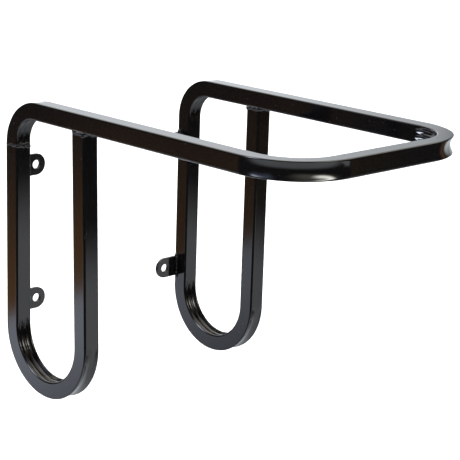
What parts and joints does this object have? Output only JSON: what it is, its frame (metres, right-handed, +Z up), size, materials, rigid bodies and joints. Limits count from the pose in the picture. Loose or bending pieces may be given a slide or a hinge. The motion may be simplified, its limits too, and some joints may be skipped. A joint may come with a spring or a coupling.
{
  "type": "saddle rack",
  "caption": "Wall-mounted saddle rack of bent black square steel tube, with long arms joined at the front, looped legs and welded screw tabs.",
  "frame": {"origin": "centre of the four wall-screw holes, on the wall plane", "axes": "+X right along the wall as seen from the front, +Y into the wall, +Z up; the arms reach out along -Y"},
  "size_m": [0.3616, 0.5715, 0.428],
  "materials": {
    "tube_coat": "gloss black powder coat on square steel tube, with a slight orange peel",
    "tab_coat": "gloss black powder coat on flat steel plate, thin along the cut edges",
    "weld_coat": "gloss black powder coat over lumpy weld beads"
  },
  "bodies": {
    "root": {"bow_tube": "tube_coat", "left_leg_tube": "tube_coat", "tab_upper_left": "tab_coat", "tab_lower_left": "tab_coat", "tab_upper_right": "tab_coat", "tab_lower_right": "tab_coat", "splice_weld": "weld_coat", "arm_weld_left": "weld_coat", "arm_weld_right": "weld_coat", "tab_weld_upper_left": "weld_coat", "tab_weld_lower_left": "weld_coat", "tab_weld_upper_right": "weld_coat", "tab_weld_lower_right": "weld_coat"}
  },
  "joints": []
}
